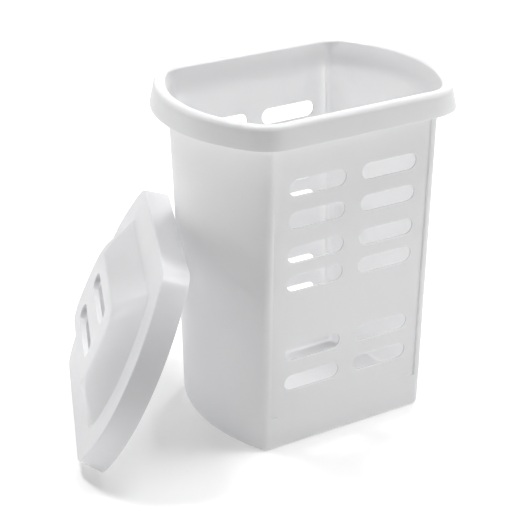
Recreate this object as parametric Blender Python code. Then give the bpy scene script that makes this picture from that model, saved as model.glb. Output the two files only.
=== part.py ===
"""Laundry hamper: a slotted tub with a turned-down rim, and its loose lid leaning on one end of it.

The tub stands on the floor with its two flat, slotted sides facing -Y and +Y and its bowed ends at
-X and +X. The origin is the middle of the tub's underside. Metres, +Z up.
"""
import math
from collections import namedtuple

import bmesh
import bpy
from mathutils import Matrix, Vector

# A plan outline has two flat sides at +-half_depth and two bowed ends that reach +-half_width. The
# flat side and the bow would meet at x = corner_x; an arc of corner_radius rounds that corner.
Plan = namedtuple("Plan", "half_depth half_width corner_x corner_radius")
# One level of a moulding: a plan outline grown by offset, at height z, with its flutes sunk by flute.
Level = namedtuple("Level", "plan offset z flute")

# Tub body
TUB_HEIGHT = 0.550
TUB_WALL = 0.0022
TUB_FLOOR = 0.003
BASE_ROUND = 0.007
INNER_BASE_ROUND = 0.005
BASE_PLAN = Plan(0.1295, 0.180, 0.1475, 0.013)
BODY_TOP_PLAN = Plan(0.146, 0.2055, 0.1475, 0.013)

# Rim: the wall flares to the mouth, rolls over and turns down as a collar that slopes outwards
MOUTH_PLAN = Plan(0.149, 0.209, 0.151, 0.045)
RIM_BAND = 0.036
RIM_TOP_OUT = 0.0183
RIM_BOTTOM_OUT = 0.024
RIM_ROUND = 0.005
RIM_FLARE_DROP = 0.018

# Flutes: one shallow groove beside each corner of the flat sides, sloping down towards the corner
FLUTE_DEPTH = 0.0035
FLUTE_WIDTH = 0.014
FLUTE_LAND = 0.0025
FLUTE_LEAST_LAND = 0.0006
FLUTE_LAND_FOLLOW = 0.6
FLUTE_STEP = 0.001
FLUTE_BOTTOM = 0.058
FLUTE_TOP = 0.505
FLUTE_RUNOUT = 0.015
LEDGE_DROP = 0.001

# Air slots: two columns on each flat side
SLOT_LENGTH = 0.100
SLOT_HEIGHT = 0.0265
SLOT_COLUMN_X = 0.064
SLOT_ROWS_Z = (0.4405, 0.3885, 0.332, 0.2845, 0.166, 0.113)

# Lid
LID_WALL = 0.0020
LID_CLEARANCE = 0.0015
SKIRT_OVERLAP = 0.002
LID_ROUND = 0.003
LID_END_EXTRA = 0.003
LID_CORNER_RADIUS = 0.018
FLANGE_WIDTH = 0.048
DOME_HEIGHT = 0.034
DOME_CORNER_RADIUS = 0.034
GRIP_SLOT_LENGTH = 0.152
GRIP_SLOT_WIDTH = 0.027
GRIP_BAR_WIDTH = 0.031
GRIP_END_MARGIN = 0.040
GRIP_SIDE_MARGIN = 0.022
GRIP_LAND_BOW = 0.010
GRIP_LAND_CORNER = 0.020

# How the lid leans: on its long straight skirt edge, against the bowed end at -X
LEAN_ANGLE = math.radians(65.8)
LEAN_TURN = math.radians(22.6)
LEAN_SHIFT = 0.034
LEAN_GAP = 0.0003

# Mesh fineness
SHARP_ANGLE = math.radians(30)
WALL_STEPS = 4
BOW_STEPS = 9
CORNER_STEPS = 5
ROUND_STEPS = 3
DOME_STEPS = 5
SLOT_END_STEPS = 8


def clear_scene():
    for item in list(bpy.data.objects):
        bpy.data.objects.remove(item, do_unlink=True)


def plastic(name, color, roughness):
    material = bpy.data.materials.new(name)
    material.use_nodes = True
    shader = material.node_tree.nodes["Principled BSDF"]
    shader.inputs["Base Color"].default_value = (*color, 1.0)
    shader.inputs["Roughness"].default_value = roughness
    shader.inputs["Metallic"].default_value = 0.0
    return material


def blend_plans(first, second, share):
    return Plan(*(a + (b - a) * share for a, b in zip(first, second)))


def body_plan(z):
    """The tub's outer wall outline at height z: the draft runs on straight above the body's top."""
    return blend_plans(BASE_PLAN, BODY_TOP_PLAN, z / (TUB_HEIGHT - RIM_BAND))


def bow_circle(plan):
    """Centre x and radius of the bowed end at +X."""
    rise = plan.half_width - plan.corner_x
    radius = (rise ** 2 + plan.half_depth ** 2) / (2 * rise)
    return plan.half_width - radius, radius


def arc(center, radius, start, end, steps):
    angles = [start + (end - start) * i / steps for i in range(steps + 1)]
    return [(center[0] + radius * math.cos(a), center[1] + radius * math.sin(a)) for a in angles]


def outline(level):
    """The level's closed outline, anticlockwise from the middle of the bowed end at +X."""
    plan = level.plan
    bow_x, bow_radius = bow_circle(plan)
    corner_y = plan.half_depth - plan.corner_radius
    corner_x = bow_x + math.sqrt((bow_radius - plan.corner_radius) ** 2 - corner_y ** 2)
    turn = math.atan2(corner_y, corner_x - bow_x)
    side_y = plan.half_depth + level.offset
    # An inner face has its step nearer the corner, so the wall keeps its thickness there.
    land_x = corner_x - max(FLUTE_LAND + level.offset * FLUTE_LAND_FOLLOW, FLUTE_LEAST_LAND)
    corner = (corner_x, corner_y)
    quarter = arc((bow_x, 0.0), bow_radius + level.offset, 0.0, turn, BOW_STEPS)
    quarter += arc(corner, plan.corner_radius + level.offset, turn, math.pi / 2, CORNER_STEPS)[1:]
    quarter += [
        (land_x, side_y),
        (land_x - FLUTE_STEP, side_y - level.flute),
        (land_x - FLUTE_WIDTH, side_y),
    ]
    half = quarter + [(-x, y) for x, y in reversed(quarter)]
    return half + [(x, -y) for x, y in reversed(half[1:-1])]


def skin(name, levels, material):
    """A closed moulding through the levels in order, capped flat at the first and the last."""
    mesh = bpy.data.meshes.new(name)
    shape = bmesh.new()
    rings = [[shape.verts.new((x, y, level.z)) for x, y in outline(level)] for level in levels]
    for lower, upper in zip(rings, rings[1:]):
        for i in range(len(lower)):
            shape.faces.new((lower[i - 1], lower[i], upper[i], upper[i - 1]))
    shape.faces.new(rings[0])
    shape.faces.new(rings[-1])
    bmesh.ops.recalc_face_normals(shape, faces=shape.faces)
    shape.to_mesh(mesh)
    shape.free()
    mesh.materials.append(material)
    mesh.shade_smooth()
    mesh.set_sharp_from_angle(angle=SHARP_ANGLE)
    moulding = bpy.data.objects.new(name, mesh)
    bpy.context.collection.objects.link(moulding)
    return moulding


def stadium(length, height):
    """A slot outline with round ends, centred, anticlockwise."""
    end_radius = height / 2
    half_straight = length / 2 - end_radius
    right = arc((half_straight, 0.0), end_radius, -math.pi / 2, math.pi / 2, SLOT_END_STEPS)
    left = arc((-half_straight, 0.0), end_radius, math.pi / 2, 3 * math.pi / 2, SLOT_END_STEPS)
    return right + left


def slot_cutter(name, outlines, along, reach):
    """One prism per slot outline, each from -reach to +reach along the direction given."""
    mesh = bpy.data.meshes.new(name)
    shape = bmesh.new()
    for points in outlines:
        face = shape.faces.new([shape.verts.new(Vector(point) - along * reach) for point in points])
        swept = bmesh.ops.extrude_face_region(shape, geom=[face])["geom"]
        moved = [item for item in swept if isinstance(item, bmesh.types.BMVert)]
        bmesh.ops.translate(shape, verts=moved, vec=along * reach * 2)
    bmesh.ops.recalc_face_normals(shape, faces=shape.faces)
    shape.to_mesh(mesh)
    shape.free()
    cutter = bpy.data.objects.new(name, mesh)
    cutter.hide_render = True
    cutter.display_type = "WIRE"
    bpy.context.collection.objects.link(cutter)
    return cutter


def cut(piece, cutter):
    boolean = piece.modifiers.new("slots", "BOOLEAN")
    boolean.operation = "DIFFERENCE"
    boolean.solver = "EXACT"
    boolean.object = cutter


def base_levels():
    """The underside's edge and the round up to the wall."""
    levels = []
    for step in range(ROUND_STEPS + 1):
        angle = math.pi / 2 * step / ROUND_STEPS
        z = BASE_ROUND * (1 - math.cos(angle))
        levels.append(Level(body_plan(z), -BASE_ROUND * (1 - math.sin(angle)), z, 0.0))
    return levels


def wall_levels(offset, ledge_z):
    """One face of the wall from its ledge, where the flutes end, to the foot of the rim's flare."""
    levels = [Level(body_plan(ledge_z - LEDGE_DROP), offset, ledge_z - LEDGE_DROP, 0.0)]
    for step in range(WALL_STEPS + 1):
        z = ledge_z + (FLUTE_TOP - ledge_z) * step / WALL_STEPS
        levels.append(Level(body_plan(z), offset, z, FLUTE_DEPTH))
    for z in (FLUTE_TOP + FLUTE_RUNOUT, TUB_HEIGHT - RIM_FLARE_DROP):
        levels.append(Level(body_plan(z), offset, z, 0.0))
    return levels


def rim_profile(inset):
    """Offset and height pairs over the rolled rim, from mouth to collar, sunk by inset below its skin."""
    radius = RIM_ROUND - inset
    center_z = TUB_HEIGHT - RIM_ROUND
    lip = arc((RIM_ROUND, center_z), radius, math.pi, math.pi / 2, ROUND_STEPS)
    shoulder = arc((RIM_TOP_OUT - RIM_ROUND, center_z), radius, math.pi / 2, 0.0, ROUND_STEPS)
    return lip + shoulder + [(RIM_BOTTOM_OUT - inset, TUB_HEIGHT - RIM_BAND)]


def rim_levels():
    """Underside of the collar from the wall outwards, then its skin back to the mouth."""
    under = [Level(MOUTH_PLAN, offset, z, 0.0) for offset, z in rim_profile(TUB_WALL)]
    over = [Level(MOUTH_PLAN, offset, z, 0.0) for offset, z in rim_profile(0.0)]
    return under + list(reversed(over))


def floor_levels():
    """The inner wall's round down to the floor."""
    levels = []
    for step in range(ROUND_STEPS + 1):
        angle = math.pi / 2 * step / ROUND_STEPS
        z = TUB_FLOOR + INNER_BASE_ROUND * (1 - math.sin(angle))
        inset = TUB_WALL + INNER_BASE_ROUND * (1 - math.cos(angle))
        levels.append(Level(body_plan(z), -inset, z, 0.0))
    return levels


def side_slots():
    """Outlines of every air slot, standing on the plane between the two flat sides."""
    outlines = []
    for z in SLOT_ROWS_Z:
        for x in (-SLOT_COLUMN_X, SLOT_COLUMN_X):
            outlines.append([(x + u, 0.0, z + v) for u, v in stadium(SLOT_LENGTH, SLOT_HEIGHT)])
    return outlines


def make_tub():
    outer = base_levels() + wall_levels(0.0, FLUTE_BOTTOM)
    inner = wall_levels(-TUB_WALL, FLUTE_BOTTOM - TUB_WALL)
    levels = outer + rim_levels() + list(reversed(inner)) + floor_levels()
    tub = skin("tub", levels, plastic("tub_polypropylene", (0.86, 0.86, 0.87), 0.42))
    reach = MOUTH_PLAN.half_depth + RIM_BOTTOM_OUT
    cut(tub, slot_cutter("air_slot_cutter", side_slots(), Vector((0.0, 1.0, 0.0)), reach))
    return tub


def lid_plan():
    """The mouth's outline, a little longer and with tighter corners, which the lid's edge is grown from."""
    half_width = MOUTH_PLAN.half_width + LID_END_EXTRA
    return Plan(MOUTH_PLAN.half_depth, half_width, MOUTH_PLAN.corner_x + LID_END_EXTRA, LID_CORNER_RADIUS)


def skirt_depth():
    return RIM_BAND + SKIRT_OVERLAP + LID_WALL


def grip_land_plan():
    """The flat top of the dome, a margin wider than the two finger slots and the bar between them."""
    half_width = GRIP_SLOT_LENGTH / 2 + GRIP_END_MARGIN
    half_depth = GRIP_BAR_WIDTH / 2 + GRIP_SLOT_WIDTH + GRIP_SIDE_MARGIN
    return Plan(half_depth, half_width, half_width - GRIP_LAND_BOW, GRIP_LAND_CORNER)


def dome_levels(drop):
    """From the grip land down to the flange, drop below the lid's skin."""
    edge = RIM_TOP_OUT + LID_CLEARANCE + LID_WALL
    foot_plan = MOUTH_PLAN._replace(corner_radius=DOME_CORNER_RADIUS)
    levels = []
    for step in range(DOME_STEPS + 1):
        share = 1 - step / DOME_STEPS
        plan = blend_plans(foot_plan, grip_land_plan(), share)
        rise = DOME_HEIGHT * math.sin(math.pi / 2 * share)
        levels.append(Level(plan, (edge - FLANGE_WIDTH) * (1 - share), skirt_depth() + rise - drop, 0.0))
    return levels


def flange_levels(inset):
    """Round the flange's edge and down the skirt, inset inside the lid's skin."""
    edge = RIM_TOP_OUT + LID_CLEARANCE + LID_WALL
    foot = RIM_BOTTOM_OUT + LID_CLEARANCE + LID_WALL
    radius = LID_ROUND - inset
    center = (edge - LID_ROUND, skirt_depth() - LID_ROUND)
    profile = arc(center, radius, math.pi / 2, 0.0, ROUND_STEPS) + [(foot - inset, 0.0)]
    return [Level(lid_plan(), offset, z, 0.0) for offset, z in profile]


def grip_slots():
    """Outlines of the two finger slots, one each side of the bar."""
    center_y = GRIP_BAR_WIDTH / 2 + GRIP_SLOT_WIDTH / 2
    height = skirt_depth() + DOME_HEIGHT
    outlines = []
    for y in (-center_y, center_y):
        outlines.append([(u, y + v, height) for u, v in stadium(GRIP_SLOT_LENGTH, GRIP_SLOT_WIDTH)])
    return outlines


def lean_frame():
    """Directions of the leaning lid: along its long edge, up its slope, out of its top, and inwards."""
    along = Vector((-math.sin(LEAN_TURN), -math.cos(LEAN_TURN), 0.0))
    inwards = Vector((math.cos(LEAN_TURN), -math.sin(LEAN_TURN), 0.0))
    up_slope = inwards * math.cos(LEAN_ANGLE) + Vector((0.0, 0.0, math.sin(LEAN_ANGLE)))
    return along, up_slope, along.cross(up_slope), inwards


def lean_matrix():
    """Stands the lid on its skirt edge, with its upper edge a gap away from the tub's bowed end."""
    along, up_slope, outwards, inwards = lean_frame()
    half_slope = MOUTH_PLAN.half_depth + RIM_BOTTOM_OUT + LID_CLEARANCE + LID_WALL
    touch_height = 2 * half_slope * math.sin(LEAN_ANGLE)
    bow_x, bow_radius = bow_circle(body_plan(touch_height))
    touch = Vector((-bow_x, 0.0, 0.0)).dot(inwards) - bow_radius - LEAN_GAP
    upper_edge = inwards * touch + along * LEAN_SHIFT + Vector((0.0, 0.0, touch_height))
    center = upper_edge - up_slope * half_slope
    matrix = Matrix((along, up_slope, outwards)).transposed().to_4x4()
    matrix.translation = center
    return matrix


def make_lid():
    levels = dome_levels(0.0) + flange_levels(0.0)
    levels += list(reversed(flange_levels(LID_WALL))) + list(reversed(dome_levels(LID_WALL)))
    lid = skin("lid", levels, plastic("lid_polypropylene", (0.88, 0.88, 0.89), 0.38))
    cutter = slot_cutter("grip_slot_cutter", grip_slots(), Vector((0.0, 0.0, 1.0)), DOME_HEIGHT / 2)
    cut(lid, cutter)
    lid.matrix_world = lean_matrix()
    cutter.matrix_world = lean_matrix()
    return lid


def main():
    clear_scene()
    make_tub()
    make_lid()


main()
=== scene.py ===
"""Looks of the laundry hamper: a slotted, frosted plastic tub and its loose lid leaning on one end.

The tub and the lid are modelled a quarter at a time. Points are carried along the flat side, round the
corner and along the bow, and the quarter is mirrored. Metres, +Z up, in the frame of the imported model.
"""

import math
from collections import namedtuple

import bmesh
import bpy
from mathutils import Matrix, Vector


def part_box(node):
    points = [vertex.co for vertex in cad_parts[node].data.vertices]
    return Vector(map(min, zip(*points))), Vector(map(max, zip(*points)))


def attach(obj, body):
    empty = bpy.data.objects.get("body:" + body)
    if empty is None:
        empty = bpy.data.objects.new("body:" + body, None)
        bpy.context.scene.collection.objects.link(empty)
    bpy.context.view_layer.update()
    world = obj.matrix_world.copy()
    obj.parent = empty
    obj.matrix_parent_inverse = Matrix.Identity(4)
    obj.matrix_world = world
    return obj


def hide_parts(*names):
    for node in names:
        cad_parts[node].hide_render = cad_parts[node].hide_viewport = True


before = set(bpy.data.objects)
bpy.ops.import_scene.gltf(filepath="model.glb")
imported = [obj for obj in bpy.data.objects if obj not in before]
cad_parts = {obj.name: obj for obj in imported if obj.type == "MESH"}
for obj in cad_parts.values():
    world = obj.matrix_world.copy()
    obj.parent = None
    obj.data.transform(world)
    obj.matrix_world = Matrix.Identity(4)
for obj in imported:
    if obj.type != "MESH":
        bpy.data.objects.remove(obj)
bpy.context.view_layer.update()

# A plan outline has two flat sides at +-half_depth and two bowed ends that reach +-half_width. The
# flat side and the bow would meet at x = corner_x; an arc of corner_radius rounds that corner.
Plan = namedtuple("Plan", "half_depth half_width corner_x corner_radius")

# Tub
TUB_HEIGHT = 0.550
TUB_WALL = 0.0022
BASE_ROUND = 0.007
INNER_BASE_ROUND = 0.005
BASE_PLAN = Plan(0.1295, 0.180, 0.1475, 0.013)
BODY_TOP_PLAN = Plan(0.146, 0.2055, 0.1475, 0.013)
MOUTH_PLAN = Plan(0.149, 0.209, 0.151, 0.045)
RIM_BAND = 0.036
RIM_TOP_OUT = 0.0183
RIM_BOTTOM_OUT = 0.024
RIM_ROUND = 0.005
RIM_OUTER_ROLL = 0.010
RIM_FLARE_DROP = 0.018
COLLAR_EDGE = 0.0007

# Flutes: the outer skin is sunk by more than the inner one, so the wall is thinner there
FLUTE_DEPTH = 0.0025
FLUTE_INNER_DEPTH = 0.0011
FLUTE_WIDTH = 0.014
FLUTE_LAND = 0.0025
FLUTE_LEAST_LAND = 0.0006
FLUTE_LAND_FOLLOW = 0.6
FLUTE_STEP = 0.001
FLUTE_INNER_STEP = 0.0035
FLUTE_BOTTOM = 0.058
FLUTE_TOP = 0.505
FLUTE_RUNOUT = 0.015
FLUTE_EDGE = 0.0004
LEDGE_DROP = 0.001

# Air slots
SLOT_LENGTH = 0.100
SLOT_HEIGHT = 0.0265
SLOT_COLUMN_X = 0.064
SLOT_ROWS_Z = (0.4405, 0.3885, 0.332, 0.2845, 0.166, 0.113)
SLOT_EDGE = 0.0005
SLOT_CUTTER_REACH = 0.2

# Lid
LID_WALL = 0.0020
LID_CLEARANCE = 0.0015
SKIRT_OVERLAP = 0.002
SKIRT_EDGE = 0.0006
LID_ROUND = 0.003
LID_END_EXTRA = 0.003
LID_CORNER_RADIUS = 0.018
FLANGE_WIDTH = 0.048
DOME_HEIGHT = 0.034
DOME_CORNER_RADIUS = 0.034
EASE_REACH = 0.026
GRIP_SLOT_LENGTH = 0.152
GRIP_SLOT_WIDTH = 0.027
GRIP_BAR_WIDTH = 0.031
GRIP_END_MARGIN = 0.046
GRIP_SIDE_MARGIN = 0.022
GRIP_LAND_BOW = 0.010
GRIP_LAND_CORNER = 0.028
GRIP_EDGE = 0.0009
GRIP_LIP_WALL = 0.0022
GRIP_LIP_DROP = 0.009
GRIP_LIP_HEIGHT = 0.0085
GRIP_CUTTER_REACH = 0.02
LEAN_ANGLE = math.radians(65.8)
LEAN_TURN = math.radians(22.6)

# Fineness of the curves, per quarter, and of the rounded edges
BOW_STEPS = 22
CORNER_STEPS = 9
ROUND_STEPS = 6
ROLL_STEPS = 9
WALL_STEPS = 6
DOME_STEPS = 12
SLOT_END_STEPS = 14
BASE_STEPS = 6
INNER_BASE_STEPS = 5
EDGE_STEPS = 3
FLUTE_EDGE_STEPS = 2
GRIP_EDGE_STEPS = 4
LID_STOP_SHARE = 0.4

# Least turns, in degrees, of the edges that are rounded or kept sharp
SQUARE_TURN = 60
FOOT_TURN = 50
FLUTE_TURN = 25
CREASE_TURN = 35

# How close points have to be to count as one, or as lying at a place
WELD_REACH = 0.00002
MIRROR_REACH = 0.00005
PLACE_SLACK = 0.0002
LEVEL_SLACK = 0.0001
COLLAR_SLACK = 0.001

# Where the edges to round are looked for, past the feature that they belong to
FLUTE_PAST_BOTTOM = 0.006
FLUTE_PAST_TOP = 0.001
FLUTE_PAST_SIDE = 0.02
SLOT_PAST_END = 0.001
EDGE_MARGIN = 0.0005
GRIP_LEVEL_SLACK = 0.0004
LEAST_SIDE_Y = 0.1
MOST_SIDEWAYS = 0.8

# Plastic
SCUFF_TONE = (0.93, 0.93, 0.94, 1.0)
# Painted shade: the grey that the air slots' cut faces are darkened to, as if they stood in shadow
SLOT_SHADE_TONE = (0.52, 0.52, 0.53, 1.0)
PLASTIC_IOR = 1.49
SCATTER_SHARE = 0.9
SURFACE_INPUTS = (
    ("Tone", "NodeSocketColor", (0.8, 0.8, 0.8, 1.0)),
    ("Cloud Tone", "NodeSocketColor", (0.7, 0.7, 0.7, 1.0)),
    ("Cloud Scale", "NodeSocketFloat", 7.0),
    ("Grain Scale", "NodeSocketFloat", 900.0),
    ("Grain Depth", "NodeSocketFloat", 0.15),
    ("Scuffs", "NodeSocketFloat", 0.3),
    ("Base Roughness", "NodeSocketFloat", 0.4),
    # Share of painted shade, 1 on the air slots' cut faces
    ("Slot Shade", "NodeSocketFloat", 0.0),
)
TUB_FINISH = {
    "Tone": (0.80, 0.80, 0.81, 1.0), "Cloud Tone": (0.785, 0.785, 0.795, 1.0), "Cloud Scale": 6.0,
    "Grain Scale": 850.0, "Grain Depth": 0.12, "Scuffs": 0.25, "Base Roughness": 0.36,
}
TUB_SCATTER_DEPTH = 0.008
LID_FINISH = {
    "Tone": (0.78, 0.78, 0.79, 1.0), "Cloud Tone": (0.755, 0.755, 0.77, 1.0), "Cloud Scale": 5.0,
    "Grain Scale": 950.0, "Grain Depth": 0.10, "Scuffs": 0.2, "Base Roughness": 0.33,
}
LID_SCATTER_DEPTH = 0.003

# Stage: the floor glows faintly, and more with distance, so it stays pale up to the horizon
FLOOR_SIZE = 24.0
FLOOR_TONE = (0.93, 0.93, 0.93, 1.0)
FLOOR_GLOW = 0.265
FAR_GLOW = 0.95
GLOW_REACH = (1.6, 5.0)
WORLD_LIGHT = 0.02
LIGHT_AIM = Vector((-0.07, 0.0, 0.25))
# Name, direction seen from the aim, distance, diameter and power in watts
SOFTBOXES = (
    ("overhead", (0.00, 0.00, 1.00), 3.0, 1.2, 10.0),
    ("key_left_back", (-0.20, 0.25, 1.00), 3.0, 0.8, 43.0),
    ("key_right_front", (0.25, -0.20, 1.00), 3.0, 0.8, 35.0),
    ("top_right_front", (0.75, -0.35, 0.75), 3.0, 1.6, 14.0),
    ("right_back", (0.80, 0.60, 0.30), 2.8, 1.4, 38.0),
    ("back", (0.20, 1.00, 0.35), 2.8, 1.4, 11.0),
    ("left_back", (-0.80, 0.60, 0.20), 2.6, 1.4, 9.7),
    ("right_front", (0.80, -0.60, 0.22), 2.8, 1.2, 7.1),
)
CAMERA_AZIMUTH = math.radians(-31.56)
CAMERA_ELEVATION = math.radians(24.45)
CAMERA_AIM = Vector((-0.0692, 0.0023, 0.275))
CAMERA_DISTANCE = 2.464
CAMERA_LENS = 109.85
CAMERA_SHIFT = (-0.0140, -0.0088)


def blend_plans(first, second, share):
    return Plan(*(a + (b - a) * share for a, b in zip(first, second)))


def body_plan(z):
    """The tub's outer wall outline at height z."""
    return blend_plans(BASE_PLAN, BODY_TOP_PLAN, z / (TUB_HEIGHT - RIM_BAND))


def bow_circle(plan):
    """Centre x and radius of the bowed end at +X."""
    rise = plan.half_width - plan.corner_x
    radius = (rise ** 2 + plan.half_depth ** 2) / (2 * rise)
    return plan.half_width - radius, radius


def corner_turn(plan):
    """Centre of the corner's arc, and the angle from +X at which the bow takes over from it."""
    bow_x, bow_radius = bow_circle(plan)
    y = plan.half_depth - plan.corner_radius
    x = bow_x + math.sqrt((bow_radius - plan.corner_radius) ** 2 - y ** 2)
    return x, y, math.atan2(y, x - bow_x)


# Selecting and starting pieces

def mesh_in_edit():
    return bmesh.from_edit_mesh(bpy.context.object.data)


def pick(kind, wanted):
    """Selects only the points or edges for which wanted is true, and returns how many."""
    shape = mesh_in_edit()
    bpy.ops.mesh.select_all(action="DESELECT")
    items = shape.verts if kind == "VERT" else shape.edges
    bpy.context.tool_settings.mesh_select_mode = (kind == "VERT", kind == "EDGE", False)
    count = 0
    for item in items:
        if wanted(item):
            item.select = True
            count += 1
    shape.select_flush_mode()
    bmesh.update_edit_mesh(bpy.context.object.data)
    return count


def start_piece(name):
    """A new piece in edit mode, with nothing in it yet."""
    bpy.ops.object.select_all(action="DESELECT")
    bpy.ops.mesh.primitive_plane_add(size=0.01)
    piece = bpy.context.object
    piece.name = name
    piece.data.name = name
    bpy.ops.object.mode_set(mode="EDIT")
    bpy.ops.mesh.select_all(action="SELECT")
    bpy.ops.mesh.delete(type="VERT")
    return piece


def end_edit():
    bpy.ops.object.mode_set(mode="OBJECT")


def put_point(point):
    """A single selected point, made from a small plane merged at its centre."""
    bpy.context.tool_settings.mesh_select_mode = (True, False, False)
    bpy.ops.mesh.select_all(action="DESELECT")
    bpy.ops.mesh.primitive_plane_add(size=0.01)
    bpy.ops.mesh.merge(type="CENTER")
    bpy.ops.transform.translate(value=point)


def push_out(step):
    bpy.ops.mesh.extrude_region_move(TRANSFORM_OT_translate={"value": step})


def apply_modifier(piece, kind, **settings):
    modifier = piece.modifiers.new(kind.lower(), kind)
    for name, value in settings.items():
        setattr(modifier, name, value)
    bpy.ops.object.select_all(action="DESELECT")
    bpy.context.view_layer.objects.active = piece
    piece.select_set(True)
    bpy.ops.object.modifier_apply(modifier=modifier.name)


# Carrying points round the quarter

def carry_round(plan, flat_stops):
    """Carries what is selected from x = 0 along the flat side, round the corner and along the bow."""
    corner_x, corner_y, turn = corner_turn(plan)
    bow_x, _ = bow_circle(plan)
    x = 0.0
    for stop in list(flat_stops) + [corner_x]:
        push_out((stop - x, 0.0, 0.0))
        x = stop
    bpy.ops.mesh.spin(
        steps=CORNER_STEPS, angle=math.pi / 2 - turn, center=(corner_x, corner_y, 0.0), axis=(0.0, 0.0, 1.0)
    )
    bpy.ops.mesh.spin(steps=BOW_STEPS, angle=turn, center=(bow_x, 0.0, 0.0), axis=(0.0, 0.0, 1.0))


def draw_quarter(plan, offset, z, flat_stops):
    """Draws a quarter of the plan's outline, grown by offset, at height z. Returns its points' numbers."""
    first = len(mesh_in_edit().verts)
    put_point((0.0, plan.half_depth + offset, z))
    carry_round(plan, flat_stops)
    return range(first, len(mesh_in_edit().verts))


def bridge(first, second):
    numbers = set(first) | set(second)
    pick("VERT", lambda point: point.index in numbers)
    bpy.context.tool_settings.mesh_select_mode = (False, True, False)
    bpy.ops.mesh.bridge_edge_loops()


def sweep_profile(plan, profile, flat_stops):
    """Draws the profile of (offset, z) pairs over the flat side and carries it round the quarter."""
    first = len(mesh_in_edit().verts)
    offset, z = profile[0]
    put_point((0.0, plan.half_depth + offset, z))
    for next_offset, next_z in profile[1:]:
        push_out((0.0, next_offset - offset, next_z - z))
        offset, z = next_offset, next_z
    chain = range(first, len(mesh_in_edit().verts))
    pick("VERT", lambda point: point.index in chain)
    carry_round(plan, flat_stops)


def arc(center, radius, start, end, steps):
    angles = [start + (end - start) * i / steps for i in range(steps + 1)]
    return [(center[0] + radius * math.cos(a), center[1] + radius * math.sin(a)) for a in angles]


def mirror_quarter(piece):
    apply_modifier(piece, "MIRROR", use_axis=(True, True, False), merge_threshold=MIRROR_REACH, use_clip=False)


def loft(chains):
    for lower, upper in zip(chains, chains[1:]):
        bridge(lower, upper)


def near(value, wanted, slack=PLACE_SLACK):
    return abs(value - wanted) < slack


def at_height(z, slack=PLACE_SLACK):
    """A test for edges that lie flat at height z."""
    return lambda edge: all(near(point.co.z, z, slack) for point in edge.verts)


def close_ring(z):
    """Fills the ring of edges that lies flat at height z and has nothing on its other side."""
    level = at_height(z, MIRROR_REACH)
    pick("EDGE", lambda edge: edge.is_boundary and level(edge))
    bpy.ops.mesh.edge_face_add()


def weld():
    bpy.ops.mesh.select_all(action="SELECT")
    bpy.ops.mesh.remove_doubles(threshold=WELD_REACH)
    bpy.ops.mesh.normals_make_consistent(inside=False)


def soften(least_angle, width, steps, where):
    """Rounds the edges that turn by more than least_angle and for which where is true."""
    turn = math.radians(least_angle)
    if pick("EDGE", lambda edge: edge.calc_face_angle(0.0) > turn and where(edge)):
        bpy.ops.mesh.bevel(offset=width, segments=steps, profile=0.5, affect="EDGES", clamp_overlap=True)


def finish_shading(piece, angle):
    bpy.ops.object.select_all(action="DESELECT")
    bpy.context.view_layer.objects.active = piece
    piece.select_set(True)
    bpy.ops.object.shade_smooth_by_angle(angle=math.radians(angle))
    apply_modifier(piece, "WEIGHTED_NORMAL", keep_sharp=True, weight=60)


def slot_blocks(name, centers, length, height, along):
    """Blocks with round ends, one for each centre, standing on the plane across the direction given."""
    blocks = start_piece(name)
    upright = abs(along.y) > abs(along.z)
    for center in centers:
        bpy.ops.mesh.select_all(action="DESELECT")
        bpy.ops.mesh.primitive_plane_add(size=1.0, location=center)
        bpy.ops.transform.resize(value=(length, height, 1.0), center_override=center)
        if upright:
            bpy.ops.transform.rotate(value=math.pi / 2, orient_axis="X", center_override=center)
        bpy.ops.mesh.bevel(
            offset=height * 0.4999, segments=SLOT_END_STEPS, affect="VERTICES", clamp_overlap=False
        )
        push_out(along)
    weld()
    end_edit()
    return blocks


def combine(piece, other, operation):
    apply_modifier(piece, "BOOLEAN", object=other, operation=operation, solver="EXACT")
    bpy.data.objects.remove(other, do_unlink=True)


# Tub

def flute_stops(plan, offset):
    corner_x, _, _ = corner_turn(plan)
    land_x = corner_x - max(FLUTE_LAND + offset * FLUTE_LAND_FOLLOW, FLUTE_LEAST_LAND)
    step = FLUTE_STEP if offset >= 0.0 else FLUTE_INNER_STEP
    return [land_x - FLUTE_WIDTH, land_x - step, land_x]


def wall_chains(offset, foot_z, ledge_z):
    """Quarter outlines of one skin of the wall, from its foot to the foot of the rim's flare."""
    heights = [foot_z, ledge_z - LEDGE_DROP]
    heights += [ledge_z + (FLUTE_TOP - ledge_z) * i / WALL_STEPS for i in range(WALL_STEPS + 1)]
    heights += [FLUTE_TOP + FLUTE_RUNOUT, TUB_HEIGHT - RIM_FLARE_DROP]
    chains = []
    for z in heights:
        plan = body_plan(z)
        chain = draw_quarter(plan, offset, z, flute_stops(plan, offset))
        chains.append(chain)
        if ledge_z - LEVEL_SLACK < z < FLUTE_TOP + LEVEL_SLACK:
            sink_flute(chain, plan, offset)
    return chains


def sink_flute(chain, plan, offset):
    """Pushes the outline's point at the foot of the flute's step in."""
    step_x = flute_stops(plan, offset)[1]
    side_y = plan.half_depth + offset
    depth = FLUTE_DEPTH if offset >= 0.0 else FLUTE_INNER_DEPTH

    def at_foot(point):
        return point.index in chain and near(point.co.x, step_x) and near(point.co.y, side_y)

    pick("VERT", at_foot)
    bpy.ops.transform.translate(value=(0.0, -depth, 0.0))


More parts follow.
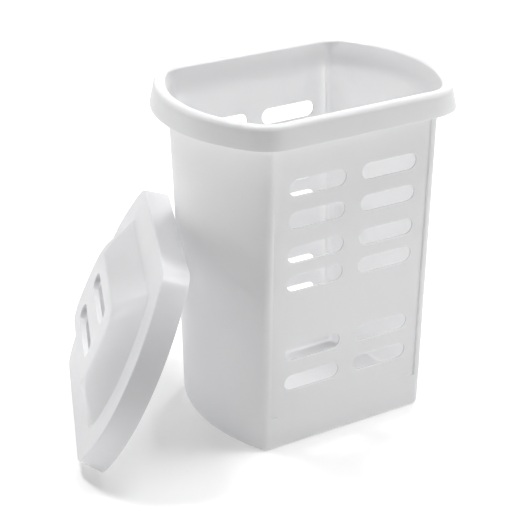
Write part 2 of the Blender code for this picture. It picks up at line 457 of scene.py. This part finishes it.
def rim_profile(inset):
    """The rim's skin from the mouth's lip, over the roll and down the collar, sunk by inset."""
    middle = RIM_TOP_OUT / 2
    profile = []
    arcs = ((math.pi, RIM_ROUND, ROLL_STEPS), (math.pi / 2, RIM_OUTER_ROLL, ROLL_STEPS + 1))
    for start, height, steps in arcs:
        for step in range(steps):
            turn = start - math.pi / 2 * step / ROLL_STEPS
            out = middle + (middle - inset) * math.cos(turn)
            profile.append((out, TUB_HEIGHT - height + (height - inset) * math.sin(turn)))
    return profile + [(RIM_BOTTOM_OUT - inset, TUB_HEIGHT - RIM_BAND)]


def make_tub():
    tub = start_piece("tub_shell")
    stops = flute_stops(MOUTH_PLAN, 0.0)
    lip_z = TUB_HEIGHT - RIM_ROUND
    outer = wall_chains(0.0, 0.0, FLUTE_BOTTOM)
    outer.append(draw_quarter(MOUTH_PLAN, TUB_WALL, lip_z, stops))
    inner = wall_chains(-TUB_WALL, TUB_WALL, FLUTE_BOTTOM - TUB_WALL)
    inner.append(draw_quarter(MOUTH_PLAN, 0.0, lip_z, stops))
    loft(outer)
    loft(inner)
    sweep_profile(MOUTH_PLAN, rim_profile(TUB_WALL) + list(reversed(rim_profile(0.0))), stops)
    end_edit()
    mirror_quarter(tub)
    bpy.ops.object.mode_set(mode="EDIT")
    weld()
    close_ring(0.0)
    close_ring(TUB_WALL)
    weld()
    soften(SQUARE_TURN, BASE_ROUND, BASE_STEPS, at_height(0.0))
    soften(SQUARE_TURN, INNER_BASE_ROUND, INNER_BASE_STEPS, at_height(TUB_WALL))
    soften(FOOT_TURN, COLLAR_EDGE, EDGE_STEPS, at_height(TUB_HEIGHT - RIM_BAND, COLLAR_SLACK))
    soften(FLUTE_TURN, FLUTE_EDGE, FLUTE_EDGE_STEPS, beside_corner)
    end_edit()
    centers = [(x, -SLOT_CUTTER_REACH, z) for z in SLOT_ROWS_Z for x in (-SLOT_COLUMN_X, SLOT_COLUMN_X)]
    across = Vector((0.0, 2 * SLOT_CUTTER_REACH, 0.0))
    cutters = slot_blocks("air_slots", centers, SLOT_LENGTH, SLOT_HEIGHT, across)
    combine(tub, cutters, "DIFFERENCE")
    bpy.ops.object.mode_set(mode="EDIT")
    soften(SQUARE_TURN, SLOT_EDGE, EDGE_STEPS, round_slot)
    end_edit()
    paint_slot_shade(tub)
    return tub


def paint_slot_shade(tub):
    """Writes a face attribute that is 1 on the slots' cut faces and 0 elsewhere: the mask where the material
    paints shade on them.
    """
    slot_shade_mask = tub.data.attributes.new("slot_painted_shade", "FLOAT", "FACE")
    half_run = (SLOT_LENGTH - SLOT_HEIGHT) / 2
    for face in tub.data.polygons:
        beyond = max(abs(abs(face.center.x) - SLOT_COLUMN_X) - half_run, 0.0)
        reach = min(math.hypot(beyond, face.center.z - z) for z in SLOT_ROWS_Z)
        on_wall = abs(face.center.y) > LEAST_SIDE_Y
        if on_wall and reach < SLOT_HEIGHT / 2 + SLOT_EDGE and abs(face.normal.y) < MOST_SIDEWAYS:
            slot_shade_mask.data[face.index].value = 1.0


def beside_corner(edge):
    """Whether an edge is part of a flute."""
    low, high = FLUTE_BOTTOM - FLUTE_PAST_BOTTOM, FLUTE_TOP + FLUTE_PAST_TOP
    for point in edge.verts:
        x, y, z = point.co
        corner_x, _, _ = corner_turn(body_plan(z))
        beside = corner_x - FLUTE_PAST_SIDE < abs(x) < corner_x + EDGE_MARGIN
        if not (low < z < high and beside and abs(y) > LEAST_SIDE_Y):
            return False
    return True


def round_slot(edge):
    """Whether an edge lies where the air slots are."""
    top_row, low_row = SLOT_ROWS_Z[0] + SLOT_HEIGHT, SLOT_ROWS_Z[-1] - SLOT_HEIGHT
    reach = SLOT_COLUMN_X + SLOT_LENGTH / 2 + SLOT_PAST_END
    return all(low_row < point.co.z < top_row and abs(point.co.x) < reach for point in edge.verts)


# Lid

def lid_plan():
    half_width = MOUTH_PLAN.half_width + LID_END_EXTRA
    return Plan(MOUTH_PLAN.half_depth, half_width, MOUTH_PLAN.corner_x + LID_END_EXTRA, LID_CORNER_RADIUS)


def skirt_depth():
    return RIM_BAND + SKIRT_OVERLAP + LID_WALL


def lid_edge():
    return RIM_TOP_OUT + LID_CLEARANCE + LID_WALL


def grip_land_plan():
    half_width = GRIP_SLOT_LENGTH / 2 + GRIP_END_MARGIN
    half_depth = GRIP_BAR_WIDTH / 2 + GRIP_SLOT_WIDTH + GRIP_SIDE_MARGIN
    return Plan(half_depth, half_width, half_width - GRIP_LAND_BOW, GRIP_LAND_CORNER)


def dome_chains(drop):
    """Quarter outlines of one skin of the dome, from the flange up to the grip land."""
    foot_plan = MOUTH_PLAN._replace(corner_radius=DOME_CORNER_RADIUS)
    chains = []
    for step in range(DOME_STEPS + 1):
        share = step / DOME_STEPS
        plan = blend_plans(foot_plan, grip_land_plan(), share)
        rise = DOME_HEIGHT * math.sin(math.pi / 2 * share)
        offset = (lid_edge() - FLANGE_WIDTH) * (1 - share)
        chain = draw_quarter(plan, offset, skirt_depth() + rise - drop, [plan.corner_x * LID_STOP_SHARE])
        ease_long_side(chain, plan.half_depth + offset, DOME_HEIGHT * share - rise)
        chains.append(chain)
    return chains


def ease_long_side(chain, side_y, lift):
    """Raises the points of an outline's straight side by lift, and those of its corner less and less."""
    shape = mesh_in_edit()
    shape.verts.ensure_lookup_table()
    levels = {}
    for index in chain:
        levels.setdefault(round(shape.verts[index].co.y, 5), set()).add(index)
    for y, indices in levels.items():
        share = min(1.0 - (side_y - y) / EASE_REACH, 1.0)
        if share > 0.0:
            pick("VERT", lambda point: point.index in indices)
            bpy.ops.transform.translate(value=(0.0, 0.0, lift * share ** 2 * (3 - 2 * share)))


def skirt_profile():
    """The flange's edge round down to the skirt's foot and back up inside."""
    center = (lid_edge() - LID_ROUND, skirt_depth() - LID_ROUND)
    foot = RIM_BOTTOM_OUT + LID_CLEARANCE + LID_WALL
    outside = arc(center, LID_ROUND, math.pi / 2, 0.0, ROUND_STEPS) + [(foot, 0.0)]
    inside = [(foot - LID_WALL, 0.0)] + arc(center, LID_ROUND - LID_WALL, 0.0, math.pi / 2, ROUND_STEPS)
    return outside + inside


def make_lid():
    lid = start_piece("lid_shell")
    stops = [lid_plan().corner_x * LID_STOP_SHARE]
    outer_edge = draw_quarter(lid_plan(), lid_edge() - LID_ROUND, skirt_depth(), stops)
    inner_edge = draw_quarter(lid_plan(), lid_edge() - LID_ROUND, skirt_depth() - LID_WALL, stops)
    loft([outer_edge] + dome_chains(0.0))
    loft([inner_edge] + dome_chains(LID_WALL))
    sweep_profile(lid_plan(), skirt_profile(), stops)
    end_edit()
    mirror_quarter(lid)
    bpy.ops.object.mode_set(mode="EDIT")
    weld()
    top = skirt_depth() + DOME_HEIGHT
    close_ring(top)
    close_ring(top - LID_WALL)
    weld()
    soften(FOOT_TURN, SKIRT_EDGE, EDGE_STEPS, at_height(0.0))
    end_edit()
    cut_grip(lid, top)
    bpy.ops.object.mode_set(mode="EDIT")
    soften(SQUARE_TURN, GRIP_EDGE, GRIP_EDGE_STEPS, lambda edge: beside_grip(edge, top))
    end_edit()
    lean(lid)
    return lid


def cut_grip(lid, top):
    """Adds a lip round each finger slot under the land at height top, and cuts the slots."""
    slot_y = GRIP_BAR_WIDTH / 2 + GRIP_SLOT_WIDTH / 2
    blocks = (
        ("grip_lips", GRIP_LIP_WALL, GRIP_LIP_DROP, GRIP_LIP_HEIGHT, "UNION"),
        ("grip_slots", 0.0, GRIP_CUTTER_REACH, 2 * GRIP_CUTTER_REACH, "DIFFERENCE"),
    )
    for name, margin, drop, height, operation in blocks:
        centers = [(0.0, y, top - drop) for y in (-slot_y, slot_y)]
        length, width = GRIP_SLOT_LENGTH + 2 * margin, GRIP_SLOT_WIDTH + 2 * margin
        combine(lid, slot_blocks(name, centers, length, width, Vector((0.0, 0.0, height))), operation)


def beside_grip(edge, top):
    """Whether an edge lies on the land at height top, round a finger slot."""
    reach_x = GRIP_SLOT_LENGTH / 2 + EDGE_MARGIN
    reach_y = GRIP_BAR_WIDTH / 2 + GRIP_SLOT_WIDTH + EDGE_MARGIN
    inside = all(abs(point.co.x) < reach_x and abs(point.co.y) < reach_y for point in edge.verts)
    return inside and at_height(top, GRIP_LEVEL_SLACK)(edge)


def lean(lid):
    """Stands the lid on its long skirt edge against the tub's end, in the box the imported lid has."""
    along = Vector((-math.sin(LEAN_TURN), -math.cos(LEAN_TURN), 0.0))
    inwards = Vector((math.cos(LEAN_TURN), -math.sin(LEAN_TURN), 0.0))
    up_slope = inwards * math.cos(LEAN_ANGLE) + Vector((0.0, 0.0, math.sin(LEAN_ANGLE)))
    lid.matrix_world = Matrix((along, up_slope, along.cross(up_slope))).transposed().to_4x4()
    bpy.ops.object.select_all(action="DESELECT")
    bpy.context.view_layer.objects.active = lid
    lid.select_set(True)
    bpy.ops.object.transform_apply(location=True, rotation=True, scale=True)
    points = [point.co for point in lid.data.vertices]
    middle = Vector([(min(p[i] for p in points) + max(p[i] for p in points)) / 2 for i in range(3)])
    low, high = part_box("lid")
    bpy.ops.object.mode_set(mode="EDIT")
    bpy.ops.mesh.select_all(action="SELECT")
    bpy.ops.transform.translate(value=(low + high) / 2 - middle)
    end_edit()


# Finishes

def feed(tree, socket, given):
    """Links a socket to another node's output, or sets it to a number or a colour."""
    if isinstance(given, bpy.types.NodeSocket):
        tree.links.new(given, socket)
    else:
        socket.default_value = given


def noise(tree, place, scale, detail, roughness=0.5):
    texture = tree.nodes.new("ShaderNodeTexNoise")
    inputs = (("Vector", place), ("Scale", scale), ("Detail", detail), ("Roughness", roughness))
    for name, given in inputs:
        feed(tree, texture.inputs[name], given)
    return texture.outputs["Fac"]


def map_range(tree, value, from_range, to_range=(0.0, 1.0)):
    node = tree.nodes.new("ShaderNodeMapRange")
    for name, number in zip(("From Min", "From Max", "To Min", "To Max"), (*from_range, *to_range)):
        node.inputs[name].default_value = number
    feed(tree, node.inputs["Value"], value)
    return node.outputs["Result"]


def mix_colors(tree, share, first, second):
    node = tree.nodes.new("ShaderNodeMix")
    node.data_type = "RGBA"
    for name, given in (("Factor", share), ("A", first), ("B", second)):
        feed(tree, node.inputs[name], given)
    return node.outputs["Result"]


def work_out(tree, operation, *values):
    node = tree.nodes.new("ShaderNodeMath")
    node.operation = operation
    for socket, value in zip(node.inputs, values):
        feed(tree, socket, value)
    return node.outputs[0]


def bump(tree, height, strength, distance, under=None):
    node = tree.nodes.new("ShaderNodeBump")
    for name, given in (("Height", height), ("Strength", strength), ("Distance", distance)):
        feed(tree, node.inputs[name], given)
    if under is not None:
        feed(tree, node.inputs["Normal"], under)
    return node.outputs["Normal"]


def make_frosted_group():
    """Frosted plastic: fine mould grain, faint flow clouding, handling scuffs, and painted shade that darkens
    the slots' cut faces.
    """
    group = bpy.data.node_groups.new("frosted_plastic_surface", "ShaderNodeTree")
    for name, kind, value in SURFACE_INPUTS:
        group.interface.new_socket(name=name, in_out="INPUT", socket_type=kind).default_value = value
    for name, kind in (("Color", "Color"), ("Roughness", "Float"), ("Normal", "Vector")):
        group.interface.new_socket(name=name, in_out="OUTPUT", socket_type="NodeSocket" + kind)
    given = group.nodes.new("NodeGroupInput").outputs
    result = group.nodes.new("NodeGroupOutput").inputs
    place = group.nodes.new("ShaderNodeTexCoord").outputs["Object"]

    cloud = noise(group, place, given["Cloud Scale"], 3.0)
    clouded = mix_colors(group, map_range(group, cloud, (0.35, 0.7)), given["Tone"], given["Cloud Tone"])

    # Scuffs: thin, mostly level rubs, broken up by a coarser noise
    stretch = group.nodes.new("ShaderNodeMapping")
    stretch.inputs["Scale"].default_value = (1.0, 1.0, 9.0)
    feed(group, stretch.inputs["Vector"], place)
    rub = map_range(group, noise(group, stretch.outputs["Vector"], 45.0, 6.0, 0.65), (0.62, 0.74))
    patch = map_range(group, noise(group, place, 11.0, 2.0), (0.5, 0.7))
    scuffed = work_out(group, "MULTIPLY", work_out(group, "MULTIPLY", rub, patch), given["Scuffs"])
    lifted = mix_colors(group, scuffed, clouded, SCUFF_TONE)
    # Painted shade: the slots' cut faces are pulled towards a dark grey, as if in shadow
    feed(group, result["Color"], mix_colors(group, given["Slot Shade"], lifted, SLOT_SHADE_TONE))

    rough_cloud = work_out(group, "MULTIPLY_ADD", cloud, 0.12, given["Base Roughness"])
    feed(group, result["Roughness"], work_out(group, "MULTIPLY_ADD", scuffed, 0.25, rough_cloud))

    wave = bump(group, noise(group, place, 16.0, 1.0), 0.12, 0.002)
    grain = noise(group, place, given["Grain Scale"], 2.0)
    feed(group, result["Normal"], bump(group, grain, given["Grain Depth"], 0.0004, wave))
    return group


def frosted_plastic(name, group, finish, scatter_depth):
    material = bpy.data.materials.new(name)
    material.use_nodes = True
    tree = material.node_tree
    shader = tree.nodes["Principled BSDF"]
    surface = tree.nodes.new("ShaderNodeGroup")
    surface.node_tree = group
    for socket, value in finish.items():
        surface.inputs[socket].default_value = value
    # Mask of the painted shade on the slots' cut faces
    edge = tree.nodes.new("ShaderNodeAttribute")
    edge.attribute_name = "slot_painted_shade"
    feed(tree, surface.inputs["Slot Shade"], edge.outputs["Fac"])
    feed(tree, shader.inputs["Base Color"], surface.outputs["Color"])
    feed(tree, shader.inputs["Roughness"], surface.outputs["Roughness"])
    feed(tree, shader.inputs["Normal"], surface.outputs["Normal"])
    shader.inputs["IOR"].default_value = PLASTIC_IOR
    shader.inputs["Subsurface Weight"].default_value = SCATTER_SHARE
    shader.inputs["Subsurface Radius"].default_value = (1.0, 1.0, 1.0)
    shader.inputs["Subsurface Scale"].default_value = scatter_depth
    return material


# Stage

def make_floor():
    bpy.ops.object.select_all(action="DESELECT")
    bpy.ops.mesh.primitive_plane_add(size=FLOOR_SIZE)
    floor = bpy.context.object
    floor.name = "studio_floor"
    material = bpy.data.materials.new("pale_floor")
    material.use_nodes = True
    tree = material.node_tree
    shader = tree.nodes["Principled BSDF"]
    shader.inputs["Base Color"].default_value = FLOOR_TONE
    shader.inputs["Roughness"].default_value = 0.9
    shader.inputs["Specular IOR Level"].default_value = 0.1
    shader.inputs["Emission Color"].default_value = (1.0, 1.0, 1.0, 1.0)
    reach = tree.nodes.new("ShaderNodeVectorMath")
    reach.operation = "LENGTH"
    feed(tree, reach.inputs[0], tree.nodes.new("ShaderNodeTexCoord").outputs["Object"])
    glow = map_range(tree, reach.outputs["Value"], GLOW_REACH, (FLOOR_GLOW, FAR_GLOW))
    feed(tree, shader.inputs["Emission Strength"], glow)
    floor.data.materials.append(material)


def add_softbox(name, direction, distance, size, power):
    light = bpy.data.lights.new(name, "AREA")
    light.shape = "DISK"
    light.size = size
    light.energy = power
    lamp = bpy.data.objects.new(name, light)
    lamp.location = LIGHT_AIM + Vector(direction).normalized() * distance
    lamp.rotation_euler = (LIGHT_AIM - lamp.location).to_track_quat("-Z", "Y").to_euler()
    bpy.context.scene.collection.objects.link(lamp)


def light_studio():
    """Softboxes all round, and a world that looks pale but gives next to no light."""
    bpy.context.scene.view_settings.view_transform = "Standard"
    world = bpy.data.worlds.new("studio")
    bpy.context.scene.world = world
    world.use_nodes = True
    tree = world.node_tree
    background = tree.nodes["Background"]
    background.inputs["Color"].default_value = (1.0, 1.0, 1.0, 1.0)
    seen = tree.nodes.new("ShaderNodeLightPath").outputs["Is Camera Ray"]
    feed(tree, background.inputs["Strength"], map_range(tree, seen, (0.0, 1.0), (WORLD_LIGHT, FAR_GLOW)))
    for name, direction, distance, size, power in SOFTBOXES:
        add_softbox(name, direction, distance, size, power)


def place_camera():
    sine, cosine = math.sin(CAMERA_AZIMUTH), math.cos(CAMERA_AZIMUTH)
    level, rise = math.cos(CAMERA_ELEVATION), math.sin(CAMERA_ELEVATION)
    away = Vector((sine * level, -cosine * level, rise))
    right = Vector((cosine, sine, 0.0))
    data = bpy.data.cameras.new("studio_camera")
    data.sensor_width = 36.0
    data.lens = CAMERA_LENS
    data.shift_x, data.shift_y = CAMERA_SHIFT
    camera = bpy.data.objects.new("studio_camera", data)
    camera.matrix_world = Matrix((right, away.cross(right), away)).transposed().to_4x4()
    camera.location = CAMERA_AIM + away * CAMERA_DISTANCE
    bpy.context.scene.collection.objects.link(camera)
    bpy.context.scene.camera = camera


def main():
    place_camera()
    group = make_frosted_group()
    pieces = (
        (make_tub(), "tub", TUB_FINISH, TUB_SCATTER_DEPTH),
        (make_lid(), "lid", LID_FINISH, LID_SCATTER_DEPTH),
    )
    for piece, node, finish, scatter_depth in pieces:
        piece.data.materials.clear()
        piece.data.materials.append(frosted_plastic(node + "_frosted_white", group, finish, scatter_depth))
        finish_shading(piece, CREASE_TURN)
        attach(piece, node)
        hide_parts(node)
    make_floor()
    light_studio()


main()
